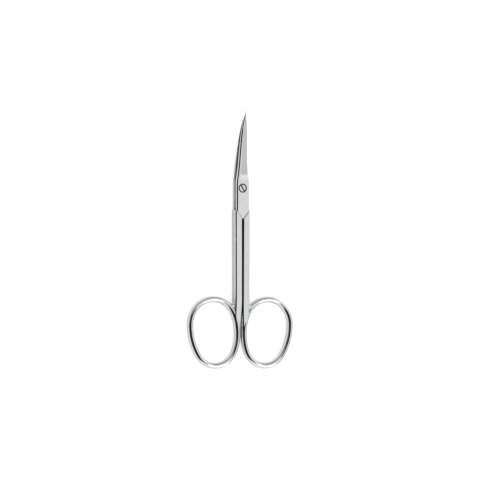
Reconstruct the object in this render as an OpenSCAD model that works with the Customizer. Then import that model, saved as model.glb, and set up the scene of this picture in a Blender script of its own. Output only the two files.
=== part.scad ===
// Curved cuticle scissors, closed, lying on their back.
// The blade tips point along +Y, the screw head faces +Z, and +X is on the right of someone
// who looks at the screw head. The origin is under the middle of the closed scissors.
// Every module below but the last three measures from the pivot axis instead.

/* [Overall] */
// Thickness of the two halves together at the shanks
body_t = 3.4; // [3.2:0.05:3.8]
// Gap between the closed rings, and between the lower ends of the closed shanks
closed_gap = 0.26; // [0.2:0.02:0.4]
// Gap between the closed shanks at the point of the V
top_gap = 0.54; // [0.26:0.02:0.6]
// Gap between the two crossing faces, measured along the pivot
lap_gap = 0.05; // [0.03:0.01:0.08]

/* [Blades] */
// Distance from the pivot to the tips
blade_reach = 26.9; // [25:0.1:29]
// How far the tips stand above the flat crossing
blade_rise = 4; // [2:0.1:5]
// Thickness of one blade where it leaves the crossing
blade_t = 1.45; // [1.2:0.05:1.48]
// Thickness left at the cutting edge
edge_t = 0.12; // [0.08:0.02:0.2]
// Radius of the rounding along the blade's back
back_r = 0.5; // [0.2:0.05:0.6]
// Share of the blade's width that stays flat beside the spine
spine_strip = 0.28; // [0.2:0.02:0.4]
// Depth of the hollow ground into the inner face
hollow = 0.06; // [0.02:0.01:0.1]

/* [Crossing] */
// Half-width of the crossing on the spine side
cross_spine = 2.3; // [2.2:0.05:2.4]
// Half-width of the crossing on the edge side
cross_edge = 2.48; // [2.4:0.04:2.6]
// Depth of the ground flats below the faces of the shanks
flat_step = 0.22; // [0.1:0.02:0.3]
// Distance from the pivot to the point of the V between the shanks
vee_reach = 10.7; // [10:0.1:12]
// Angle of the V's arms above the X axis
vee_angle = 52; // [48:1:56]
// Gap at the shoulder, measured along the shanks
shoulder_gap = 0.3; // [0.2:0.05:0.5]

/* [Shanks] */
// Distance from the middle of the closed shanks to the side of one shank at its upper end
shank_w = 2.86; // [2.75:0.05:2.95]
// The same at the lower end
shank_w_low = 2.78; // [2.7:0.04:2.9]
// Radius of the shank's two long edges on the outside
ridge_r = 0.5; // [0.3:0.05:0.6]
// Radius of the shank's two long edges beside the other shank
inner_edge_r = 0.3; // [0.2:0.05:0.4]
// Slope of the facets beside the ground flats, in degrees
facet_slope = 28; // [20:1:40]
// Distance from the pivot to the end of the straight shanks
shank_reach = 38; // [36:0.5:39]

/* [Finger rings] */
// Width of the ring's bar, seen from the front
bar_w = 2.16; // [2:0.04:2.4]
// Depth of the ring's bar
bar_d = 2.8; // [2.5:0.1:2.8]
// Radius of the wide end, to the middle of the bar
wide_r = 8.8; // [8.4:0.1:9]
// Radius of the narrow end, to the middle of the bar
narrow_r = 7.8; // [7.4:0.1:8.2]
// Radius of the long side away from the other ring
outer_r = 20; // [18:1:24]
// Radius of the long side beside the other ring
inner_r = 18; // [17:1:20]
// Radius of the fillet where the ring leaves the outside of the shank
fillet_r = 0.9; // [0.5:0.05:1.1]
// How much lower the front half's ring sits than the other one
ring_drop = 0.3; // [0:0.05:0.4]

/* [Screw] */
// Diameter of the screw's head
head_d = 2.64; // [2.5:0.04:2.7]
// Diameter of the shoulder that the front half turns on
shoulder_d = 2; // [1.8:0.05:2.1]
// Diameter of the threaded end
thread_d = 1.8; // [1.6:0.05:1.85]
// Width of the screwdriver slot
slot_w = 0.45; // [0.35:0.05:0.55]
// Direction of the slot, turned from the X axis
slot_angle = 121; // [0:1:180]

/* [Hidden] */
$fn = 64;

mid_z = body_t / 2;
face_z = body_t - flat_step;
running_clearance = 0.03;

// The crossing is flat inside this radius and carries on as the blades outside it
flat_r = 3.4;
cross_end = 2.2;
bend_run = blade_reach - flat_r;
bend_r = (bend_run * bend_run + blade_rise * blade_rise) / (2 * blade_rise);
thinning = 29;

// Edges of a blade seen from the front: a straight taper, then an arc to the tip
edge_start = 3.02;
edge_taper = 0.077;
edge_arc = [17, 48];
spine_start = 2.15;
spine_taper = 0.054;
spine_arc = [19, 47];
spine_run = 7;
tip_half = 0.14;
heel_start = 2.3;
heel_end = 5.2;

// The bar of each ring follows four arcs that run into each other
wide_c = [10.63, -47.65];
narrow_c = [9.68, -54.35];
ring_z = bar_d / 2;
outer_c = meet(wide_c, outer_r - wide_r, narrow_c, outer_r - narrow_r, -1);
inner_c = meet(wide_c, inner_r - wide_r, narrow_c, inner_r - narrow_r, 1);
// Where the wide end's arc runs into the long side beside the other ring
bar_join = inner_c[1] + inner_r * sin(bearing(inner_c, wide_c));
neck_end = 50.5;
// The neck where it ends inside the bar: height above the middle and radius of its roundings,
// and its distance from the middle of the closed scissors
neck_ridge = [0.66, 0.5];
neck_inner = [0.4, 0.8];
neck_half_gap = 0.3;
neck_in_bar = 0.15;
// The fillet is thinner than the bar, and its arc ends a hair inside what it joins
fillet_h = 1.6;
fillet_hair = 0.03;
shank_top = 5;

// Distance from the origin to the pivot axis
pivot_y = (narrow_r + bar_w / 2 - narrow_c[1] + ring_drop - blade_reach) / 2;

head_recess = 0.38;
head_t = 0.72;
slot_depth = 0.36;
seat_z = face_z - 0.04 - head_t;
steel = [0.82, 0.83, 0.84];
screw_steel = [0.74, 0.75, 0.77];

function mix(a, b, share) = a + (b - a) * share;
function smooth(u) = let (v = min(1, max(0, u))) v * v * (3 - 2 * v);
function turn_to(from, to) = from + ((to - from) % 360 + 360) % 360;

// A closed outline round a chain of circles, each [x, z, radius, points], counter-clockwise
function lean(a, b) =
    let (step = [b[0] - a[0], b[1] - a[1]])
    atan2(step[1], step[0]) - acos((a[2] - b[2]) / norm(step));
function round_chain(circles) =
    let (n = len(circles))
    [for (i = [0 : n - 1])
        let (c = circles[i],
             from = lean(circles[(i + n - 1) % n], c),
             to = turn_to(from, lean(c, circles[(i + 1) % n])))
        each c[3] == 1 ? [[c[0], c[1]]]
            : [for (j = [0 : c[3] - 1])
                let (a = mix(from, to, j / (c[3] - 1)))
                [c[0] + c[2] * cos(a), c[1] + c[2] * sin(a)]]];

// A solid through sections given as 3-D points, in order along +Y
module loft(sections) {
    n = len(sections[0]);
    last = len(sections) - 1;
    skin = [for (i = [0 : last - 1], j = [0 : n - 1])
        let (a = i * n + j, b = i * n + (j + 1) % n)
        each [[a, b, b + n], [a, b + n, a + n]]];
    polyhedron([for (s = sections) each s],
        concat([[for (j = [n - 1 : -1 : 0]) j]], skin,
            [[for (j = [0 : n - 1]) last * n + j]]));
}

// A section in X and Z drawn out from y_low to y_high
module along_y(y_low, y_high)
    translate([0, y_high, 0]) rotate([90, 0, 0]) linear_extrude(y_high - y_low) children();

// The same shape turned half round about the crossing's middle line along Y
module turned()
    translate([0, 0, body_t]) rotate([0, 180, 0]) children();

// From the pivot axis to the place in the closed scissors
module in_place()
    translate([0, pivot_y, 0]) children();

// Blades. Both inner faces lie on one surface of revolution about the pivot,
// so the curved blades slide over each other at every angle.
function rise(r) = let (run = max(0, r - flat_r)) bend_r - sqrt(bend_r * bend_r - run * run);
function tip_arc(y, arc) = pow(max(0, y - arc[0]), 2) / (2 * arc[1]);
function heel(y) = smooth((y - heel_start) / (heel_end - heel_start));
function edge_x(y) = max(tip_half,
    mix(cross_edge, edge_start - edge_taper * y - tip_arc(y, edge_arc), heel(y)));
function spine_x(y) = max(tip_half, min(cross_spine,
    mix(cross_spine + spine_taper * cross_end, spine_start, smooth((y - cross_end) / spine_run))
        - spine_taper * y - tip_arc(y, spine_arc)));
function thickness(y) = max(0.34, blade_t * (1 - pow(max(0, y) / thinning, 2.2)));

// Section of one blade above its inner face: edge on +X, spine on -X
function blade_section(y) =
    let (t = y > cross_end ? min(thickness(y), face_z - mid_z - lap_gap / 2)
             : face_z - mid_z - lap_gap / 2,
         e = edge_x(y),
         s = spine_x(y),
         edge_top = mix(t - 0.01, edge_t, heel(y)),
         r_edge = min(0.14, edge_top * 0.35),
         dip = hollow * max(0.1, heel(y)),
         r_spine = min(back_r, 0.7 * spine_strip * (s + e), t * 0.7))
    concat(
        [[e, 0]],
        round_chain([
            [e - 0.02, 0.02, 0.02, 1],
            [e - r_edge, edge_top - r_edge, r_edge, 4],
            [mix(-s, e, spine_strip), t, 0, 1],
            [r_spine - s, t - r_spine, r_spine, 7],
            [0.03 - s, 0.03, 0.03, 1]]),
        [[-s, 0], [mix(-s, e, 0.3), dip], [mix(-s, e, 0.7), dip]]);

// side is 1 for the front blade and -1 for the back blade
module blade(side) {
    steps = 28;
    loft([for (i = [0 : steps])
        let (y = mix(cross_end, blade_reach, i / steps))
        [for (p = blade_section(y))
            [side * p[0], y, mid_z + rise(norm([p[0], y])) + side * (lap_gap / 2 + p[1])]]]);
}

// Flat crossing of the front half, cut along the left arm of the V
module crossing() {
    arm_slope = tan(vee_angle);
    plate = [for (p = blade_section(cross_end)) [p[0], p[1] + mid_z + lap_gap / 2]];
    intersection() {
        along_y(-vee_reach, cross_end) polygon(plate);
        linear_extrude(body_t) polygon([
            [-3.5, arm_slope * 3.5 - vee_reach], [0, -vee_reach], [3.5, -vee_reach],
            [3.5, cross_end], [-3.5, cross_end]]);
    }
}

// Everything on the pivot's side of the V's right arm, moved down by drop
module above_arm(drop)
    translate([0, -vee_reach - drop, 0]) rotate([0, 0, vee_angle]) translate([-4, 0, 0])
        cube([16, 12, body_t]);

// Ground flat above the arm, with the sloping facet that leads down to it
module ground_flat() {
    translate([0, 0, face_z]) above_arm(0);
    translate([0, -vee_reach, face_z]) rotate([0, 0, vee_angle]) rotate([-facet_slope, 0, 0])
        translate([-4, -3, 0]) cube([16, 6, 2]);
}

// Section of the right-hand shank about its middle. Below the shank it becomes the neck, of which
// the outside follows the middle of the ring's bar, and m goes from 0 to 1 as it fills the bar.
function bar_x(y) =
    let (arc = y > bar_join ? [wide_c, wide_r] : [inner_c, inner_r])
    arc[0][0] - sqrt(arc[1] * arc[1] - pow(min(arc[1], max(0, y - arc[0][1])), 2));
function shank_section(y, m = 0, inset = 0, low = 0) =
    let (down = min(1, max(0, (-vee_reach - y) / (shank_reach - vee_reach))),
         side = mix(shank_w, shank_w_low, down),
         half_gap = mix(mix(top_gap, closed_gap, down) / 2, neck_half_gap, pow(m, 3)),
         outer = [y < -shank_reach ? min(side - ridge_r, bar_x(y + low) + neck_in_bar * m) : side - ridge_r,
                  mix(mid_z - ridge_r, neck_ridge[0], m), mix(ridge_r, neck_ridge[1], m)],
         in_r = mix(inner_edge_r, neck_inner[1], m),
         inner = [half_gap + in_r, mix(mid_z - inner_edge_r, neck_inner[0], m), in_r])
    round_chain([
        [outer[0], -outer[1], outer[2] - inset, 9],
        [outer[0], outer[1], outer[2] - inset, 9],
        [inner[0], inner[1], inner[2] - inset, 7],
        [inner[0], -inner[1], inner[2] - inset, 7]]);

module shank() {
    loft([for (y = [-shank_reach, -vee_reach, -shank_top])
        [for (p = shank_section(y)) [p[0], y, mid_z + p[1]]]]);
}

// Width of the shank's upper end, which draws in to the crossing
module shank_outline() {
    run = 4.6;
    steps = 12;
    side = [for (i = [0 : steps])
        [mix(shank_w + 0.1, cross_edge - 0.3, smooth(i / steps)), -shank_top - run * (1 - i / steps)]];
    polygon(concat([[0, -shank_top], [0, -60], [shank_w + 0.1, -60]], side));
}

// Neck between the shank and the ring. It starts a hair inside the shank's end.
module neck(low) {
    steps = 18;
    hair = 0.02;
    loft([for (i = [steps : -1 : 0])
        let (m = smooth(i / steps),
             y = -mix(shank_reach - 10 * hair, neck_end, i / steps))
        [for (p = shank_section(y, m, hair, low)) [p[0], y, p[1] + mix(mid_z, ring_z, m)]]]);
}

// Finger ring
function meet(a, ra, b, rb, side) =
    let (d = norm(b - a),
         u = (b - a) / d,
         along = (d * d + ra * ra - rb * rb) / (2 * d))
    a + u * along + side * sqrt(ra * ra - along * along) * [-u[1], u[0]];
function bearing(from, to) = atan2(to[1] - from[1], to[0] - from[0]);

// Stations along one arc of the bar, each [middle, bearing outwards]
function arc_stations(centre, r, from, to) =
    let (sweep = turn_to(from, to) - from,
         steps = max(5, round(sweep * (r + 6) / 120)))
    [for (i = [0 : steps - 1])
        let (a = from + sweep * i / steps)
        [[centre[0] + r * cos(a), centre[1] + r * sin(a)], [cos(a), sin(a)]]];

// An oval section swept round the whole ring
module ring() {
    stations = concat(
        arc_stations(outer_c, outer_r, bearing(outer_c, narrow_c), bearing(outer_c, wide_c)),
        arc_stations(wide_c, wide_r, bearing(outer_c, wide_c), bearing(inner_c, wide_c)),
        arc_stations(inner_c, inner_r, bearing(inner_c, wide_c), bearing(inner_c, narrow_c)),
        arc_stations(narrow_c, narrow_r, bearing(inner_c, narrow_c), bearing(outer_c, narrow_c)));
    n = 16;
    count = len(stations);
    polyhedron(
        [for (s = stations, j = [0 : n - 1])
            let (out = bar_w / 2 * cos(360 * j / n), up = bar_d / 2 * sin(360 * j / n))
            [s[0][0] + out * s[1][0], s[0][1] + out * s[1][1], ring_z + up]],
        [for (i = [0 : count - 1], j = [0 : n - 1])
            let (a = i * n + j, b = i * n + (j + 1) % n, step = i == count - 1 ? n - count * n : n)
            each [[a, b + step, a + step], [a, b, b + step]]]);
}

// Fillet in the corner between the outside of the shank and the ring
module fillet() {
    side = shank_w_low - fillet_hair;
    bar_side = wide_r + bar_w / 2 - fillet_hair;
    across = wide_c[0] - side - fillet_r;
    middle = wide_c + [-across, sqrt(pow(bar_side + fillet_r, 2) - across * across)];
    in_bar = mix(wide_c, middle, (bar_side - bar_w / 4) / norm(middle - wide_c));
    translate([0, 0, ring_z - fillet_h / 2]) linear_extrude(fillet_h) difference() {
        polygon([middle, [side - ridge_r, middle[1]], [side - ridge_r, in_bar[1] - bar_w / 2], in_bar]);
        translate(middle) circle(r = fillet_r);
    }
}

// Right-hand handle. Above the V it keeps its upper layer where side is 1, its lower layer
// where side is -1, and makes room for the other half's crossing.
module handle(side) {
    difference() {
        intersection() {
            shank();
            linear_extrude(body_t) shank_outline();
        }
        ground_flat();
        translate([0, 0, body_t]) mirror([0, 0, 1]) ground_flat();
        translate([0, 0, side * (lap_gap - body_t) / 2]) above_arm(shoulder_gap);
    }
    low = side == 1 ? ring_drop : 0;
    resize([0, 0, 0]) union() {
        neck(low);
        translate([0, -low, 0]) ring();
        translate([0, -low, 0]) fillet();
    }
}

module screw_hole() {
    translate([0, 0, seat_z - 0.02]) cylinder(d = head_d + head_recess, h = body_t);
    cylinder(d = shoulder_d + 2 * running_clearance, h = body_t);
}

module front_half() {
    color(steel) in_place() difference() {
        union() {
            handle(1);
            crossing();
            blade(1);
        }
        screw_hole();
    }
}

module back_half() {
    color(steel) in_place() difference() {
        union() {
            mirror([1, 0, 0]) handle(-1);
            turned() crossing();
            blade(-1);
        }
        cylinder(d = thread_d, h = body_t);
    }
}

module pivot_screw() {
    edge = 0.08;
    head_top = face_z - 0.04;
    color(screw_steel) in_place() difference() {
        rotate_extrude() polygon([
            [0, flat_step], [thread_d / 2, flat_step], [thread_d / 2, mid_z - lap_gap / 2],
            [shoulder_d / 2, mid_z - lap_gap / 2], [shoulder_d / 2, seat_z], [head_d / 2, seat_z],
            [head_d / 2, head_top - edge], [head_d / 2 - edge, head_top], [0, head_top]]);
        translate([0, 0, head_top - slot_depth + 1]) rotate([0, 0, slot_angle])
            cube([head_d + 1, slot_w, 2], center = true);
    }
}

front_half();
back_half();
pivot_screw();
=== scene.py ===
"""Curved cuticle scissors, closed, lying on a pale table, seen from above and a little from the left.

Every piece is modelled in millimetres measured from the pivot, and then put in its place in metres.
"""
import math

import bmesh
import bpy
from mathutils import Matrix, Vector


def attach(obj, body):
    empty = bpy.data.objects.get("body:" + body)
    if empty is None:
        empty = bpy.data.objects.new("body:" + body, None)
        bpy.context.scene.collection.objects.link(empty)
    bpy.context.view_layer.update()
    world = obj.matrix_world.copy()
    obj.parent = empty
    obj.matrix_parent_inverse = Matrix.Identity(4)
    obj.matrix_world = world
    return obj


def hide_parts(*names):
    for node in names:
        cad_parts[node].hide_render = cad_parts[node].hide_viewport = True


MM_PER_M = 1000

# Sizes in millimetres, angles in radians. Places are measured from the pivot.
BODY_T = 3.4
MID_Z = BODY_T / 2
CLOSED_GAP = 0.26
TOP_GAP = 0.54
LAP_GAP = 0.05

# Crossing: half-widths, the ground flats, and the V between the shanks
CROSS_SPINE = 2.3
CROSS_EDGE = 2.48
FLAT_STEP = 0.22
FACE_Z = BODY_T - FLAT_STEP
# The crossing is flat inside this radius and carries on as the blades outside it
FLAT_R = 3.4
CROSS_END = 2.2
CROSS_ROWS = (-6, -3, 0)
VEE_REACH = 10.7
VEE_ANGLE = math.radians(52)
FACET_SLOPE = math.radians(28)
SHOULDER_GAP = 0.3
SHOULDER_RUN = 4.6
SHOULDER_X, SHOULDER_LOW_X, SHOULDER_OUTSIDE = CROSS_EDGE - 0.3, 0.1, 3
SHOULDER_STEPS = 24

# Blades
BLADE_REACH = 26.9
BLADE_RISE = 4
BLADE_STEPS = 72
BEND_RUN = BLADE_REACH - FLAT_R
BEND_R = (BEND_RUN ** 2 + BLADE_RISE ** 2) / (2 * BLADE_RISE)
BLADE_T = 1.45
LEAST_T = 0.34
THINNING = 29
THINNING_POWER = 2.2
EDGE_T = 0.12
EDGE_R, EDGE_POINTS = 0.14, 7
BACK_R, BACK_POINTS = 0.6, 9
CREST_R, CREST_POINTS = 0.05, 4
# The wall of the back leans in towards the top by this share of its height
BACK_LEAN = 0.24
# Shares of the width that the flat beside the spine takes, and the hollow of the inner face
SPINE_STRIP = 0.28
HOLLOW_FROM, HOLLOW_TO, HOLLOW = 0.3, 0.7, 0.06
# Where the blade is slight, its roundings shrink to these shares of the strip and of the thickness
BACK_OF_STRIP, BACK_OF_T, EDGE_OF_T = 0.9, 0.7, 0.35
CROSS_DROP = 0.01
EDGE_BEVEL, BACK_BEVEL = 0.02, 0.03
# A blade seen from the front: a straight taper, then an arc to the tip, given by start and radius
EDGE_START, EDGE_TAPER, EDGE_ARC = 3.02, 0.077, (17, 48)
SPINE_START, SPINE_TAPER, SPINE_ARC = 2.15, 0.054, (19, 47)
SPINE_RUN = 7
TIP_HALF = 0.14
HEEL_START, HEEL_RUN = 2.3, 2.9

# Shanks
SHANK_W, SHANK_W_LOW = 2.86, 2.78
RIDGE_R, RIDGE_POINTS = 0.55, 16
INNER_EDGE_R, INNER_EDGE_POINTS = 0.3, 12
SHANK_REACH = 38
SHANK_TOP = 5
# The neck where it ends in the bar: height above the middle and radius of its roundings
NECK_RIDGE_Z, NECK_RIDGE_R = 0.66, 0.5
NECK_INNER_Z, NECK_INNER_R = 0.4, 0.8
NECK_HALF_GAP = 0.3
NECK_IN_BAR = 0.15
NECK_END = 50.5
NECK_STEPS = 40

# Finger rings: the bar, and the arcs that its middle follows
BAR_W = 2.16
BAR_D = 2.8
RING_Z = BAR_D / 2
RING_DROP = 0.3
WIDE_R, WIDE_C = 8.8, Vector((10.63, -47.65))
NARROW_R, NARROW_C = 7.8, Vector((9.68, -54.35))
OUTER_R = 20
INNER_R = 18
BAR_POINTS = 48
BAR_STEP = 2.5
LEAST_BAR_STEPS = 12
FILLET_R = 0.9
FILLET_HALF_H = 1.2
FILLET_ROUND = 0.86
FILLET_HAIR = 0.03
FILLET_IN_SHANK = 0.6
FILLET_LAYERS, FILLET_STEPS = 12, 16

# Screw
HEAD_D = 2.64
HEAD_T = 0.72
HEAD_Z = FACE_Z - 0.04
HEAD_EDGE = 0.2
HEAD_ROUND = 0.18
# The head's crown: how far it falls where its top curves down, and shares of the head's radius
HEAD_CROWN, CROWN_OUT, CROWN_IN = 0.012, 0.6, 0.2
SEAT_Z = HEAD_Z - HEAD_T
RECESS_D = HEAD_D + 0.38
RECESS_RIM = 0.04
SHOULDER_D = 2
THREAD_D = 1.8
RUNNING_CLEARANCE = 0.03
SEAT_CLEARANCE = 0.02
SLOT_W = 0.45
SLOT_DEPTH = 0.36
SLOT_ANGLE = math.radians(121)

PIVOT_Y = (NARROW_R + BAR_W / 2 - NARROW_C.y + RING_DROP - BLADE_REACH) / 2

# Cutting blocks: length along the V's arm, start on it, width, and reach past the steel
CUT_LONG, CUT_START, CUT_WIDE, BEYOND = 16, -4, 12, 1
FACET_WIDE, FACET_DEEP = 6, 2
CORNER_CUT, CORNER_LOW_Z = (12, 12, 8), -2

# Corners nearer than this are welded
WELD = 0.0005
SMOOTH_ANGLE = math.radians(24)

# Camera, lamp and table, in metres
CAMERA_LEAN = math.radians(26)
CAMERA_ROLL = math.radians(0.05)
CAMERA_AIM = Vector((-0.00033, 0.00015, 0.0017))
CAMERA_DISTANCE = 0.9347
CAMERA_LENS, CAMERA_SENSOR, CAMERA_SIGHT = 200, 36, (0.01, 20)
# Direction from the scissors to the camera
TO_CAMERA = Vector((-math.sin(CAMERA_LEAN), 0, math.cos(CAMERA_LEAN)))
LAMP_PLACE = (0.5, -0.5, 0.9)
LAMP_SIZE, LAMP_POWER = 0.5, 1.0
TABLE_SIZE, TABLE_Z = 4, -0.00002
TABLE_TONE, TABLE_GLOW, GLOW_IN_STEEL = 0.85, 0.5, 0.1

# Finish of the steel: colour and roughness of each plate, then what changes them from place to place
CHROME, CHROME_ROUGH = (0.83, 0.84, 0.85), 0.03
SCREW_PLATE, SCREW_ROUGH = (0.8, 0.81, 0.83), 0.05
CLOUDS_PER_M, HAZE_STEP = 260.0, (0.35, 0.7)
MARKS_PER_M, MARKS_STEP = (14000.0, 500.0, 14000.0), (0.45, 0.75)
HAZE_ROUGH, MARKS_ROUGH, GROUND_ROUGH, DULL_ROUGH = 0.03, 0.02, 0.36, 0.35
# The second tone is painted shade: the near-black colour given to the gaps and hollows
HAZE_TONE, PAINTED_SHADE_TONE = 0.96, 0.05
BUMP_STRENGTH, BUMP_DEPTH = 0.02, 0.00001
# Where the face is ground, and where the steel is rougher with shade painted nearly black into its
# colour (between the shanks, in the screw's recess, groove and slot), as the two ends of a soft step
# in millimetres
GROUND_STEP = (0.04, 0.06)
BETWEEN_X, BETWEEN_TOP, BETWEEN_LOW = (0.34, 0.5), (-0.3, 0.3), (-45.8, -42.8)
RECESS_STEP, RECESS_Z = (1.56, 1.62), (2.1, 2.3)
GROOVE_IN, GROOVE_OUT = HEAD_D / 2 - 0.2, HEAD_D / 2 - 0.1
SLOT_LOW, SLOT_HIGH = FACE_Z - 0.2, FACE_Z - 0.07

# What the steel mirrors: soft-edged discs, each by its direction and the angles of full and no effect
WALL_LOW, WALL_HIGH, WALL_TONES = 0.2, 0.95, (1.0, 0.8)
FAR_END, FAR_HEIGHT, FAR_SHARE, FAR_TONE = ((-0.2, 1, 0), 48, 66), (0.38, 0.6), 0.95, 0.05
RIGHT_SIDE, RIGHT_SHARE, RIGHT_TONE = ((0.93, -0.2, 0.34), 12, 34), 0.8, 0.55
LEFT_SIDES = ((-0.64, -0.37, 0.67), 26, 42), ((-0.92, 0.02, 0.4), 22, 37)
LEFT_SHARE, LEFT_TONE = 0.8, 0.04
STAND = (TO_CAMERA, 30, 37), ((-0.05, -0.42, 0.9), 12, 21), ((-0.79, -0.45, 0.42), 22, 40)
STAND_TONE = 0.02
STUDIO_TONE = 0.9


def mix(a, b, share):
    return a + (b - a) * share


def smooth(u):
    """Runs smoothly from 0 to 1, and stays there on either side."""
    u = min(1, max(0, u))
    return u * u * (3 - 2 * u)


# ---- hand tools


def pick(piece):
    """Select this piece and nothing else."""
    bpy.ops.object.select_all(action="DESELECT")
    bpy.context.view_layer.objects.active = piece
    piece.select_set(True)


def settle():
    """Put the selected piece's place, turn and scale into its mesh."""
    bpy.ops.object.transform_apply(location=True, rotation=True, scale=True)


def all_of_it():
    """Open the piece in edit mode with everything selected."""
    bpy.ops.object.mode_set(mode="EDIT")
    bpy.ops.mesh.select_all(action="SELECT")


def start(add, name, **how):
    """A new primitive, its place in its mesh, left in edit mode with everything selected."""
    if bpy.context.object and bpy.context.object.mode == "EDIT":
        bpy.ops.object.mode_set(mode="OBJECT")
    bpy.ops.object.select_all(action="DESELECT")
    add(**how)
    piece = bpy.context.object
    piece.name = piece.data.name = name
    settle()
    all_of_it()
    return piece


def done(piece):
    """Close up what is left open by a spin or an extrusion, and turn the faces outwards."""
    bpy.ops.mesh.select_all(action="SELECT")
    bpy.ops.mesh.remove_doubles(threshold=WELD)
    bpy.ops.mesh.normals_make_consistent(inside=False)
    bpy.ops.object.mode_set(mode="OBJECT")
    return piece


def move_loop(piece, before, after):
    """Move the selected corners, which lie on the points before, to the points after."""
    shape = bmesh.from_edit_mesh(piece.data)
    for corner in [v for v in shape.verts if v.select]:
        nearest = min(range(len(before)), key=lambda j: (corner.co - before[j]).length_squared)
        corner.co = after[nearest]
    bmesh.update_edit_mesh(piece.data)


def forged(name, sections):
    """A bar extruded from one section to the next, each given as points in order."""
    count = len(sections[0])
    piece = start(bpy.ops.mesh.primitive_circle_add, name, vertices=count, radius=1, fill_type="NGON")
    circle = [v.co.copy() for v in bmesh.from_edit_mesh(piece.data).verts]
    move_loop(piece, circle, sections[0])
    for here, there in zip(sections, sections[1:]):
        bpy.ops.mesh.extrude_region()
        move_loop(piece, here, there)
    return done(piece)


def turned(piece, place, turn):
    """Turn the piece about the origin and move it to its place."""
    bpy.ops.object.mode_set(mode="OBJECT")
    piece.rotation_euler = turn
    piece.location = place
    settle()
    return piece


def block(name, size, corner, place=(0, 0, 0), turn=(0, 0, 0)):
    """A block to cut with, given by its low corner, then turned about the origin and moved."""
    middle = [c + s / 2 for c, s in zip(corner, size)]
    piece = start(bpy.ops.mesh.primitive_cube_add, name, size=1)
    bpy.ops.transform.resize(value=size, center_override=(0, 0, 0))
    bpy.ops.transform.translate(value=middle)
    return turned(piece, place, turn)


def on_lathe(name, steps, count=96):
    """A round bar of which the steps give each radius and height in turn."""
    return forged(name, [[Vector((r * math.cos(a), r * math.sin(a), z))
                          for a in (math.tau * i / count for i in range(count))] for r, z in steps])


def joined(piece, other, how="UNION"):
    """Weld the other piece on, or cut the piece with it."""
    pick(piece)
    bpy.ops.object.modifier_add(type="BOOLEAN")
    fit = piece.modifiers[-1]
    fit.operation = how
    fit.solver = "EXACT"
    fit.object = other
    bpy.ops.object.modifier_apply(modifier=fit.name)
    bpy.data.objects.remove(other)
    return piece


def mirrored(piece):
    """The same piece on the other side of the closed scissors' middle."""
    pick(piece)
    piece.scale = (-1, 1, 1)
    settle()
    bpy.ops.object.mode_set(mode="EDIT")
    return done(piece)


def finished(piece):
    """Put the piece in its place in metres, and keep its flats flat in the reflections."""
    pick(piece)
    all_of_it()
    bpy.ops.mesh.remove_doubles(threshold=WELD)
    bpy.ops.transform.translate(value=(0, PIVOT_Y, 0))
    bpy.ops.transform.resize(value=(1 / MM_PER_M,) * 3, center_override=(0, 0, 0))
    bpy.ops.object.mode_set(mode="OBJECT")
    bpy.ops.object.shade_smooth_by_angle(angle=SMOOTH_ANGLE)
    bpy.ops.object.modifier_add(type="WEIGHTED_NORMAL")
    piece.modifiers[-1].keep_sharp = True
    bpy.ops.object.modifier_apply(modifier=piece.modifiers[-1].name)
    return piece


# ---- outlines


def lean(a, b):
    """Direction from a circle's centre to where the side from circle a to circle b touches it."""
    along = math.atan2(b[1] - a[1], b[0] - a[0])
    return along - math.acos((a[2] - b[2]) / math.dist(a[:2], b[:2]))


def round_chain(circles):
    """A closed outline round circles given as x, z, radius and number of points."""
    points = []
    for i, c in enumerate(circles):
        if c[3] == 1:
            points.append((c[0], c[1]))
            continue
        first = lean(circles[i - 1], c)
        last = lean(c, circles[(i + 1) % len(circles)])
        last = first + (last - first) % math.tau
        for j in range(c[3]):
            a = mix(first, last, j / (c[3] - 1))
            points.append((c[0] + c[2] * math.cos(a), c[1] + c[2] * math.sin(a)))
    return points


# ---- blades


def rise(r):
    """How far the blades have risen at this distance from the pivot's axis."""
    run = max(0, r - FLAT_R)
    return BEND_R - math.sqrt(BEND_R ** 2 - run ** 2)


def tip_arc(y, start_y, radius):
    """How far the side has curved inwards on its way to the tip."""
    return max(0, y - start_y) ** 2 / (2 * radius)


def heel(y):
    """0 on the crossing and 1 on the blade."""
    return smooth((y - HEEL_START) / HEEL_RUN)


def edge_x(y):
    taper = EDGE_START - EDGE_TAPER * y - tip_arc(y, *EDGE_ARC)
    return max(TIP_HALF, mix(CROSS_EDGE, taper, heel(y)))


def spine_x(y):
    from_crossing = smooth((y - CROSS_END) / SPINE_RUN)
    start_x = mix(CROSS_SPINE + SPINE_TAPER * CROSS_END, SPINE_START, from_crossing)
    return max(TIP_HALF, min(CROSS_SPINE, start_x - SPINE_TAPER * y - tip_arc(y, *SPINE_ARC)))


def thickness(y):
    return max(LEAST_T, BLADE_T * (1 - (max(0, y) / THINNING) ** THINNING_POWER))


def blade_section(y):
    """Section of one blade above its inner face, with the edge on +X and the spine on -X."""
    plate = FACE_Z - MID_Z - LAP_GAP / 2
    t = min(thickness(y), plate) if y > CROSS_END else plate
    e, s = edge_x(y), spine_x(y)
    edge_top = mix(t - CROSS_DROP, EDGE_T, heel(y))
    r_edge = min(EDGE_R, edge_top * EDGE_OF_T)
    r_spine = min(BACK_R, BACK_OF_STRIP * SPINE_STRIP * (s + e), t * BACK_OF_T)
    crest = mix(-s, e, SPINE_STRIP)
    lean_in = BACK_LEAN * (t - r_spine) * heel(y)
    hollow = HOLLOW * heel(y)
    return [(e, 0)] + round_chain([
        (e - EDGE_BEVEL, EDGE_BEVEL, EDGE_BEVEL, 1),
        (e - r_edge, edge_top - r_edge, r_edge, EDGE_POINTS),
        (crest, t - CREST_R, CREST_R, CREST_POINTS),
        (r_spine - s + lean_in, t - r_spine, r_spine, BACK_POINTS),
        (BACK_BEVEL - s, BACK_BEVEL, BACK_BEVEL, 1)]) + [
        (-s, 0), (mix(-s, e, HOLLOW_FROM), hollow), (mix(-s, e, HOLLOW_TO), hollow)]


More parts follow.
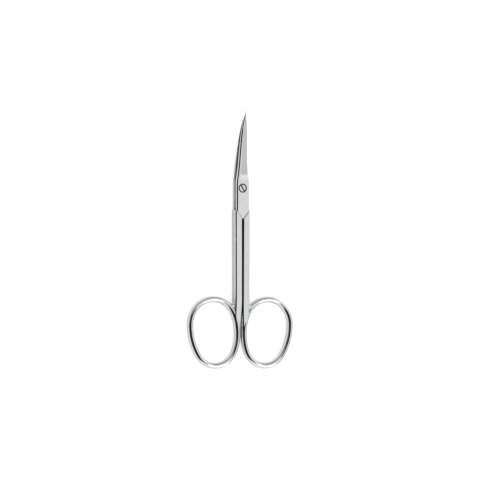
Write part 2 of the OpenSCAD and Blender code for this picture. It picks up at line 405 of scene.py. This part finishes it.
def blade(side):
    """One blade in one run with the flat crossing that it grows from: 1 in front, -1 behind."""
    rows = [-VEE_REACH, *CROSS_ROWS, CROSS_END]
    rows += [mix(CROSS_END, BLADE_REACH, i / BLADE_STEPS) for i in range(1, BLADE_STEPS + 1)]
    sections = []
    for y in rows:
        sections.append([
            Vector((side * x, y, MID_Z + side * (LAP_GAP / 2 + z)
                    + (rise(math.hypot(x, y)) if y > CROSS_END else 0)))
            for x, z in blade_section(y)])
    piece = forged("blade", sections)
    # the lower corner away from its own shank goes, along the arm of the V
    turn = math.pi - VEE_ANGLE if side > 0 else VEE_ANGLE - math.pi / 2
    corner = block("corner", CORNER_CUT, (0, 0, CORNER_LOW_Z), (0, -VEE_REACH, 0), (0, 0, turn))
    return joined(piece, corner, "DIFFERENCE")


# ---- handles


def meet(a, ra, b, rb, side):
    """Centre of the arc that touches two circles from outside or inside."""
    d = (b - a).length
    u = (b - a) / d
    along = (d * d + ra * ra - rb * rb) / (2 * d)
    return a + u * along + side * math.sqrt(ra * ra - along * along) * Vector((-u.y, u.x))


def bearing(a, b):
    """Direction from a to b."""
    return math.atan2(b.y - a.y, b.x - a.x)


# Centres of the ring's two long sides, and where the wide end runs into the one beside the neck
OUTER_C = meet(WIDE_C, OUTER_R - WIDE_R, NARROW_C, OUTER_R - NARROW_R, -1)
INNER_C = meet(WIDE_C, INNER_R - WIDE_R, NARROW_C, INNER_R - NARROW_R, 1)
BAR_JOIN = INNER_C.y + INNER_R * math.sin(bearing(INNER_C, WIDE_C))


def bar_x(y):
    """Where the middle of the ring's bar runs beside the neck."""
    centre, r = (WIDE_C, WIDE_R) if y > BAR_JOIN else (INNER_C, INNER_R)
    return centre.x - math.sqrt(r ** 2 - min(r, max(0, y - centre.y)) ** 2)


def shank_section(y, m=0.0, low=0.0):
    """Right shank's section about its middle. As m goes from 0 to 1 the neck sinks into the bar."""
    down = min(1, max(0, (-VEE_REACH - y) / (SHANK_REACH - VEE_REACH)))
    side = mix(SHANK_W, SHANK_W_LOW, down)
    outer_x = side - RIDGE_R
    if y < -SHANK_REACH:
        outer_x = min(outer_x, bar_x(y + low) + NECK_IN_BAR * m)
    outer_z, outer_r = mix(MID_Z - RIDGE_R, NECK_RIDGE_Z, m), mix(RIDGE_R, NECK_RIDGE_R, m)
    inner_z = mix(MID_Z - INNER_EDGE_R, NECK_INNER_Z, m)
    inner_r = mix(INNER_EDGE_R, NECK_INNER_R, m)
    inner_x = mix(mix(TOP_GAP, CLOSED_GAP, down) / 2, NECK_HALF_GAP, m ** 3) + inner_r
    return round_chain([
        (outer_x, -outer_z, outer_r, RIDGE_POINTS), (outer_x, outer_z, outer_r, RIDGE_POINTS),
        (inner_x, inner_z, inner_r, INNER_EDGE_POINTS),
        (inner_x, -inner_z, inner_r, INNER_EDGE_POINTS)])


def shank(low):
    """Straight shank with the neck below it, which runs into the ring."""
    sections = [[Vector((x, y, MID_Z + z)) for x, z in shank_section(y)]
                for y in (-SHANK_TOP, -VEE_REACH, -SHANK_REACH)]
    for i in range(1, NECK_STEPS + 1):
        m = smooth(i / NECK_STEPS)
        y = -mix(SHANK_REACH, NECK_END, i / NECK_STEPS)
        middle = mix(MID_Z, RING_Z, m)
        sections.append([Vector((x, y, middle + z)) for x, z in shank_section(y, m, low)])
    return forged("shank", sections)


def shoulder_cutter():
    """What the shank loses beside the crossing, where its outside draws in."""
    outside, low = SHANK_W + SHOULDER_OUTSIDE, -SHANK_TOP - SHOULDER_RUN
    side = []
    for i in range(SHOULDER_STEPS + 1):
        up = i / SHOULDER_STEPS
        x = mix(SHANK_W + SHOULDER_LOW_X, SHOULDER_X, smooth(up))
        side.append((x, -SHANK_TOP - SHOULDER_RUN * (1 - up)))
    outline = [(outside, low)] + side + [(SHOULDER_X, 0), (outside, 0)]
    return forged("shoulder", [[Vector((x, y, z)) for x, y in outline]
                               for z in (-BEYOND, BODY_T + BEYOND)])


def above_arm(drop, low_z, high_z):
    """Everything on the pivot's side of the V's right arm, moved down by drop."""
    return block("above", (CUT_LONG, CUT_WIDE, high_z - low_z), (CUT_START, 0, low_z),
                 (0, -VEE_REACH - drop, 0), (0, 0, VEE_ANGLE))


def facet(up):
    """The sloping facet that leads down to the ground flat: 1 on the front, -1 on the back."""
    low_z, face = (0, FACE_Z) if up > 0 else (-FACET_DEEP, BODY_T - FACE_Z)
    return block("facet", (CUT_LONG, FACET_WIDE, FACET_DEEP), (CUT_START, -FACET_WIDE / 2, low_z),
                 (0, -VEE_REACH, face), (-up * FACET_SLOPE, 0, VEE_ANGLE))


def ring(low):
    """Finger ring: an oval bar spun round its four arcs."""
    arcs = [(OUTER_C, bearing(OUTER_C, NARROW_C), bearing(OUTER_C, WIDE_C)),
            (WIDE_C, bearing(OUTER_C, WIDE_C), bearing(INNER_C, WIDE_C)),
            (INNER_C, bearing(INNER_C, WIDE_C), bearing(INNER_C, NARROW_C)),
            (NARROW_C, bearing(INNER_C, NARROW_C), bearing(OUTER_C, NARROW_C))]
    first = arcs[0][1]
    place = OUTER_C + OUTER_R * Vector((math.cos(first), math.sin(first)))
    piece = start(bpy.ops.mesh.primitive_circle_add, "ring", vertices=BAR_POINTS, radius=1,
                  fill_type="NOTHING")
    bpy.ops.transform.resize(value=(BAR_W / 2, BAR_D / 2, 1), center_override=(0, 0, 0))
    turned(piece, (place.x, place.y, RING_Z), (math.pi / 2, 0, first))
    all_of_it()
    for centre, begin, end in arcs:
        sweep = (end - begin) % math.tau
        steps = max(LEAST_BAR_STEPS, round(math.degrees(sweep) / BAR_STEP))
        bpy.ops.mesh.spin(steps=steps, angle=-sweep, center=(centre.x, centre.y, RING_Z),
                          axis=(0, 0, 1))
    bpy.ops.mesh.select_all(action="SELECT")
    bpy.ops.transform.translate(value=(0, -low, 0))
    return done(piece)


def fillet(low):
    """Fillet in the corner between the outside of the shank and the ring, rounded like the bar."""
    side = SHANK_W_LOW - FILLET_HAIR
    in_shank = side - FILLET_IN_SHANK
    sections = []
    for i in range(FILLET_LAYERS + 1):
        a = math.pi * (i / FILLET_LAYERS - 0.5)
        z = RING_Z + FILLET_HALF_H * math.sin(a)
        bar_side = WIDE_R + BAR_W / 2 * math.cos(a * FILLET_ROUND) - FILLET_HAIR
        across = WIDE_C.x - side - FILLET_R
        middle = WIDE_C + Vector((-across, math.sqrt((bar_side + FILLET_R) ** 2 - across ** 2)))
        lead = (middle - WIDE_C).normalized()
        end = bearing(middle, WIDE_C)
        arc = [middle + FILLET_R * Vector((math.cos(t), math.sin(t)))
               for t in (mix(-math.pi, end, j / FILLET_STEPS) for j in range(FILLET_STEPS + 1))]
        in_bar = WIDE_C + lead * WIDE_R
        outline = arc + [in_bar, Vector((in_shank, in_bar.y - 1)), Vector((in_shank, middle.y))]
        sections.append([Vector((p.x, p.y - low, z)) for p in outline])
    return forged("fillet", sections)


def handle(side):
    """Shank and ring on the right: above the V an upper layer in front, a lower layer behind."""
    low = RING_DROP if side > 0 else 0
    piece = joined(shank(low), shoulder_cutter(), "DIFFERENCE")
    joined(piece, above_arm(0, FACE_Z, BODY_T + BEYOND), "DIFFERENCE")
    joined(piece, above_arm(0, -BEYOND, BODY_T - FACE_Z), "DIFFERENCE")
    joined(piece, facet(1), "DIFFERENCE")
    joined(piece, facet(-1), "DIFFERENCE")
    other = (-BEYOND, MID_Z + LAP_GAP / 2) if side > 0 else (MID_Z - LAP_GAP / 2, BODY_T + BEYOND)
    joined(piece, above_arm(SHOULDER_GAP, *other), "DIFFERENCE")
    joined(piece, ring(low))
    return joined(piece, fillet(low))


def front_half():
    piece = joined(handle(1), blade(1))
    hole_r, seat_r, seat_z = SHOULDER_D / 2 + RUNNING_CLEARANCE, RECESS_D / 2, SEAT_Z - SEAT_CLEARANCE
    rim_r = seat_r + 2 * RECESS_RIM
    hole = on_lathe("hole", [
        (hole_r, -BEYOND), (hole_r, seat_z), (seat_r, seat_z), (seat_r, FACE_Z - RECESS_RIM),
        (rim_r, FACE_Z + RECESS_RIM), (rim_r, BODY_T + BEYOND)])
    joined(piece, hole, "DIFFERENCE")
    piece.name = "front_half_steel"
    return finished(piece)


def back_half():
    piece = joined(mirrored(handle(-1)), blade(-1))
    hole = on_lathe("hole", [(THREAD_D / 2, -BEYOND), (THREAD_D / 2, BODY_T + BEYOND)])
    joined(piece, hole, "DIFFERENCE")
    piece.name = "back_half_steel"
    return finished(piece)


def pivot_screw():
    head, shoulder, thread = HEAD_D / 2, SHOULDER_D / 2, THREAD_D / 2
    lap_z, edge_z = MID_Z - LAP_GAP / 2, HEAD_Z - HEAD_EDGE
    steps = [(thread, FLAT_STEP), (thread, lap_z), (shoulder, lap_z), (shoulder, SEAT_Z),
             (head, SEAT_Z), (head, edge_z)]
    steps += [(head - HEAD_ROUND * (1 - math.cos(a)), edge_z + HEAD_ROUND * math.sin(a))
              for a in [math.radians(d) for d in (15, 30, 45, 60, 75, 90)]]
    steps += [(head * CROWN_OUT, HEAD_Z - HEAD_CROWN), (head * CROWN_IN, HEAD_Z)]
    piece = on_lathe("pivot_screw_steel", steps)
    length = HEAD_D + 1
    slot = block("slot", (length, SLOT_W, 2), (-length / 2, -SLOT_W / 2, 0),
                 (0, 0, HEAD_Z - SLOT_DEPTH), (0, 0, SLOT_ANGLE))
    joined(piece, slot, "DIFFERENCE")
    return finished(piece)


# ---- finishes


class Maths:
    """A number socket that Python's own operators work on."""

    def __init__(self, finish, socket):
        self.finish, self.socket = finish, socket

    def _with(self, operation, other, swap=False):
        first, second = (other, self) if swap else (self, other)
        node = self.finish.node("ShaderNodeMath", {"operation": operation}, {0: first, 1: second})
        return Maths(self.finish, node.outputs[0])

    def __add__(self, other):
        return self._with("ADD", other)

    __radd__ = __add__

    def __mul__(self, other):
        return self._with("MULTIPLY", other)

    __rmul__ = __mul__

    def __sub__(self, other):
        return self._with("SUBTRACT", other)

    def __rsub__(self, other):
        return self._with("SUBTRACT", other, swap=True)

    def root(self):
        return self._with("SQRT", 0)

    def size(self):
        return self._with("ABSOLUTE", 0)

    def most(self, other):
        """The larger of the two."""
        return self._with("MAXIMUM", other)

    def eased(self, low, high):
        """Runs smoothly from 0 at low to 1 at high."""
        node = self.finish.node("ShaderNodeMapRange", {"interpolation_type": "SMOOTHSTEP"},
                                {"Value": self, "From Min": low, "From Max": high})
        return Maths(self.finish, node.outputs["Result"])


class Finish:
    """The nodes of one material or of the world."""

    def __init__(self, holder):
        holder.use_nodes = True
        self.tree = holder.node_tree
        self.tree.nodes.clear()

    def node(self, kind, settings=None, values=None):
        """A new node with its settings, and a value or another node's output on each named input."""
        node = self.tree.nodes.new(kind)
        for name, value in (settings or {}).items():
            setattr(node, name, value)
        for key, value in (values or {}).items():
            socket = node.inputs[key]
            if isinstance(value, Maths):
                value = value.socket
            if isinstance(value, bpy.types.NodeSocket):
                self.tree.links.new(value, socket)
            else:
                socket.default_value = value
        return node

    def number(self, node, name):
        return Maths(self, node.outputs[name])

    def in_mirror(self, rays):
        """1 for what the steel mirrors or something clear would let through, and 0 for all else."""
        return self.number(rays, "Is Glossy Ray").most(self.number(rays, "Is Transmission Ray"))

    def colour(self, share, a, b):
        node = self.node("ShaderNodeMix", {"data_type": "RGBA"}, {0: share, 6: a, 7: b})
        return node.outputs[2]


def grey(value, tint=(1, 1, 1)):
    return (value * tint[0], value * tint[1], value * tint[2], 1)


def polished(name, colour, rough, ground_and_shaded_parts):
    """Bright plated steel with faint polishing marks; rougher where the given parts say, with shade
    painted nearly black into the colour there.
    """
    material = bpy.data.materials.new(name)
    finish = Finish(material)
    where = finish.node("ShaderNodeTexCoord").outputs["Object"]
    cloud = finish.node("ShaderNodeTexNoise", None,
                        {"Vector": where, "Scale": CLOUDS_PER_M, "Detail": 3.0})
    along = finish.node("ShaderNodeMapping", None, {"Vector": where, "Scale": MARKS_PER_M})
    fine = finish.node("ShaderNodeTexNoise", None,
                       {"Vector": along.outputs[0], "Scale": 1.0, "Detail": 2.0})
    haze = finish.number(cloud, "Fac").eased(*HAZE_STEP)
    marks = finish.number(fine, "Fac").eased(*MARKS_STEP)
    ground, dull_and_painted_shade = ground_and_shaded_parts(finish, where)
    rough_here = (haze * HAZE_ROUGH + marks * MARKS_ROUGH + ground * GROUND_ROUGH
                  + dull_and_painted_shade * DULL_ROUGH + rough)
    tone = finish.colour(haze, grey(1, colour), grey(HAZE_TONE, colour))
    # Painted shade: the colour goes nearly black between the shanks and in the screw's hollows
    tone = finish.colour(dull_and_painted_shade, tone, grey(PAINTED_SHADE_TONE))
    bump = finish.node("ShaderNodeBump", None, {
        "Strength": BUMP_STRENGTH, "Distance": BUMP_DEPTH, "Height": finish.number(fine, "Fac")})
    shader = finish.node("ShaderNodeBsdfPrincipled", None, {
        "Base Color": tone, "Metallic": 1.0, "Roughness": rough_here, "Normal": bump.outputs[0]})
    finish.node("ShaderNodeOutputMaterial", None, {"Surface": shader.outputs[0]})
    return material


def measured(finish, where):
    """Distance from the pivot axis, then X, Y and Z, in millimetres from the pivot."""
    parts = finish.node("ShaderNodeSeparateXYZ", None, {0: where})
    x, y, z = (finish.number(parts, axis) * MM_PER_M for axis in "XYZ")
    y = y - PIVOT_Y
    return (x * x + y * y).root(), x, y, z


def half_ground_and_shaded_parts(finish, where):
    """The ground inner faces of the blades, then painted shade on the shanks' facing sides and in the
    screw's recess.
    """
    r, x, y, z = measured(finish, where)
    run = (r - FLAT_R).most(0)
    bend = run * run * (1 / (2 * BEND_R))
    bend = bend + bend * bend * (1 / (2 * BEND_R))
    off = (z - bend - MID_Z).size()
    ground = 1 - off.eased(*GROUND_STEP)
    # Painted shade: the facing sides of the shanks go dark so that the gap between them reads black
    painted_shade_between = (1 - x.size().eased(*BETWEEN_X)) * (1 - (y + VEE_REACH).eased(*BETWEEN_TOP))
    painted_shade_between = painted_shade_between * y.eased(*BETWEEN_LOW)
    # Painted shade in the recess round the screw head
    painted_shade_in_recess = (1 - r.eased(*RECESS_STEP)) * z.eased(*RECESS_Z)
    return ground * (1 - painted_shade_between), painted_shade_between.most(painted_shade_in_recess)


def screw_shaded_parts(finish, where):
    """Nothing ground, then painted shade in the slot and the groove round the head."""
    r, _, _, z = measured(finish, where)
    # Painted shade: the groove round the head and the slot go dark
    painted_shade_in_groove = r.eased(GROOVE_IN, GROOVE_OUT)
    slot = 1 - z.eased(SLOT_LOW, SLOT_HIGH)
    return r * 0, painted_shade_in_groove.most(slot)


def surroundings():
    """A white studio. The steel mirrors its dark far end, its sides and the camera's stand."""
    world = bpy.data.worlds.new("studio")
    bpy.context.scene.world = world
    finish = Finish(world)
    toward = finish.node("ShaderNodeTexCoord").outputs["Generated"]

    def disc(direction, inner, outer):
        values = {0: toward, 1: Vector(direction).normalized()}
        facing = finish.node("ShaderNodeVectorMath", {"operation": "DOT_PRODUCT"}, values)
        low, high = (math.cos(math.radians(angle)) for angle in (outer, inner))
        return finish.number(facing, "Value").eased(low, high)

    height = finish.number(finish.node("ShaderNodeSeparateXYZ", None, {0: toward}), "Z")
    walls = finish.colour(height.eased(WALL_LOW, WALL_HIGH), *[grey(tone) for tone in WALL_TONES])
    far = disc(*FAR_END) * (1 - height.eased(*FAR_HEIGHT))
    walls = finish.colour(far * FAR_SHARE, walls, grey(FAR_TONE))
    walls = finish.colour(disc(*RIGHT_SIDE) * RIGHT_SHARE, walls, grey(RIGHT_TONE))
    for left in LEFT_SIDES:
        walls = finish.colour(disc(*left) * LEFT_SHARE, walls, grey(LEFT_TONE))
    stand = disc(*STAND[0])
    for part in STAND[1:]:
        stand = stand.most(disc(*part))
    seen = finish.colour(stand, walls, grey(STAND_TONE))
    rays = finish.node("ShaderNodeLightPath")
    colour = finish.colour(finish.in_mirror(rays), grey(STUDIO_TONE), seen)
    colour = finish.colour(finish.number(rays, "Is Camera Ray"), colour, grey(1))
    back = finish.node("ShaderNodeBackground", None, {"Color": colour, "Strength": 1.0})
    finish.node("ShaderNodeOutputWorld", None, {"Surface": back.outputs[0]})


def table():
    """A plain white table top, which keeps the scissors' shadow."""
    bpy.ops.object.select_all(action="DESELECT")
    bpy.ops.mesh.primitive_plane_add(size=TABLE_SIZE, location=(0, 0, TABLE_Z))
    top = bpy.context.object
    top.name = "table_top"
    material = bpy.data.materials.new("table_white")
    finish = Finish(material)
    rays = finish.node("ShaderNodeLightPath")
    seen = (finish.in_mirror(rays) * GLOW_IN_STEEL).most(finish.number(rays, "Is Camera Ray"))
    matt = finish.node("ShaderNodeBsdfDiffuse", None, {"Color": grey(TABLE_TONE)})
    glow = finish.node("ShaderNodeEmission", None, {
        "Color": finish.colour(seen, grey(0), grey(1)), "Strength": TABLE_GLOW})
    both = finish.node("ShaderNodeAddShader", None, {0: matt.outputs[0], 1: glow.outputs[0]})
    finish.node("ShaderNodeOutputMaterial", None, {"Surface": both.outputs[0]})
    top.data.materials.append(material)


def camera():
    """The camera above the scissors and to their left, with their length upright in the picture."""
    lens = bpy.data.cameras.new("camera")
    lens.lens, lens.sensor_width = CAMERA_LENS, CAMERA_SENSOR
    lens.clip_start, lens.clip_end = CAMERA_SIGHT
    view = bpy.data.objects.new("camera", lens)
    bpy.context.collection.objects.link(view)
    view.location = CAMERA_AIM + TO_CAMERA * CAMERA_DISTANCE
    across = Vector((0, 1, 0)).cross(TO_CAMERA)
    upright = Matrix((across, (0, 1, 0), TO_CAMERA)).transposed()
    view.rotation_euler = (upright @ Matrix.Rotation(CAMERA_ROLL, 3, "Z")).to_euler()
    bpy.context.scene.camera = view


def lamp():
    """A wide soft lamp on the lower right."""
    light = bpy.data.lights.new("soft_lamp", "AREA")
    light.shape, light.size, light.energy = "DISK", LAMP_SIZE, LAMP_POWER
    holder = bpy.data.objects.new("soft_lamp", light)
    bpy.context.collection.objects.link(holder)
    holder.location = LAMP_PLACE
    holder.rotation_euler = Vector(holder.location).to_track_quat("Z", "Y").to_euler()


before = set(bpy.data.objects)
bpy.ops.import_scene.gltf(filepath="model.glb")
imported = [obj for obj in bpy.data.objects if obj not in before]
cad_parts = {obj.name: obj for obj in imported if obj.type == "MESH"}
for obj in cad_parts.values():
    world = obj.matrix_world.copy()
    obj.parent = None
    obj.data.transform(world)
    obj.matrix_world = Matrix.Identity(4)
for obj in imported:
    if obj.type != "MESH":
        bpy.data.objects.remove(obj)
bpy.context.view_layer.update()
bpy.context.scene.view_settings.view_transform = "Standard"

surroundings()
table()
camera()
lamp()

chrome = polished("chrome_plate", CHROME, CHROME_ROUGH, half_ground_and_shaded_parts)
screw_metal = polished("screw_plate", SCREW_PLATE, SCREW_ROUGH, screw_shaded_parts)

for make, node, body, slot, metal in (
        (front_half, "front_half", "front", "chrome_steel", chrome),
        (back_half, "back_half", "back", "chrome_steel", chrome),
        (pivot_screw, "pivot_screw", "back", "screw_steel", screw_metal)):
    piece = make()
    piece.data.materials.clear()
    piece.data.materials.append(metal)
    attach(piece, body)
    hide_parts(node)
